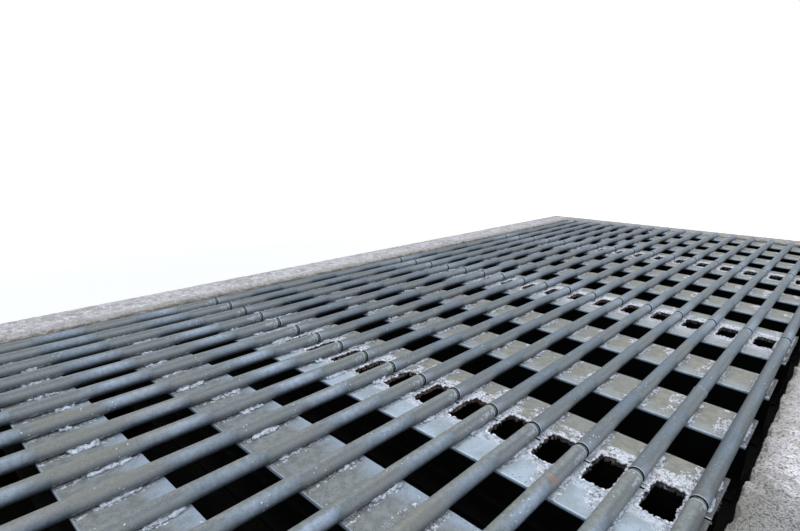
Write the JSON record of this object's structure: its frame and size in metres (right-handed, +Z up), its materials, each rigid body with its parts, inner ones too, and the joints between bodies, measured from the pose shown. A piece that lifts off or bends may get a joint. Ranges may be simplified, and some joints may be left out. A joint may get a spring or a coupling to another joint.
{
  "type": "cattle grid",
  "caption": "Road cattle grid: galvanised round tubes on arched wide-flange beams, in welded panels side by side over a concrete-walled pit.",
  "frame": {"origin": "on the level that the concrete stands on, under the middle of the pit", "axes": "+X along the tubes, +Y along the direction of travel, +Z up"},
  "size_m": [6.05, 2.868, 0.7158],
  "materials": {
    "galvanised_tubes": "weathered hot-dip zinc, blue grey, mottled",
    "galvanised_beams": "weathered hot-dip zinc, pale warm grey, flaking white along the welds",
    "cast_concrete": "weathered cast concrete, pitted, with a broken edge",
    "dirty_pit_floor": "concrete under dark damp dirt"
  },
  "bodies": {
    "root": {"panel_1_beam_1": "galvanised_beams", "panel_1_beam_2": "galvanised_beams", "panel_1_beam_3": "galvanised_beams", "panel_1_beam_4": "galvanised_beams", "panel_2_beam_1": "galvanised_beams", "panel_2_beam_2": "galvanised_beams", "panel_2_beam_3": "galvanised_beams", "panel_2_beam_4": "galvanised_beams", "panel_3_beam_1": "galvanised_beams", "panel_3_beam_2": "galvanised_beams", "panel_3_beam_3": "galvanised_beams", "panel_3_beam_4": "galvanised_beams", "panel_4_beam_1": "galvanised_beams", "panel_4_beam_2": "galvanised_beams", "panel_4_beam_3": "galvanised_beams", "panel_4_beam_4": "galvanised_beams", "panel_1_tubes": "galvanised_tubes", "panel_2_tubes": "galvanised_tubes", "panel_3_tubes": "galvanised_tubes", "panel_4_tubes": "galvanised_tubes", "near_abutment": "cast_concrete", "far_abutment": "cast_concrete", "left_end_wall": "cast_concrete", "right_end_wall": "cast_concrete", "pit_floor": "dirty_pit_floor"}
  },
  "joints": []
}
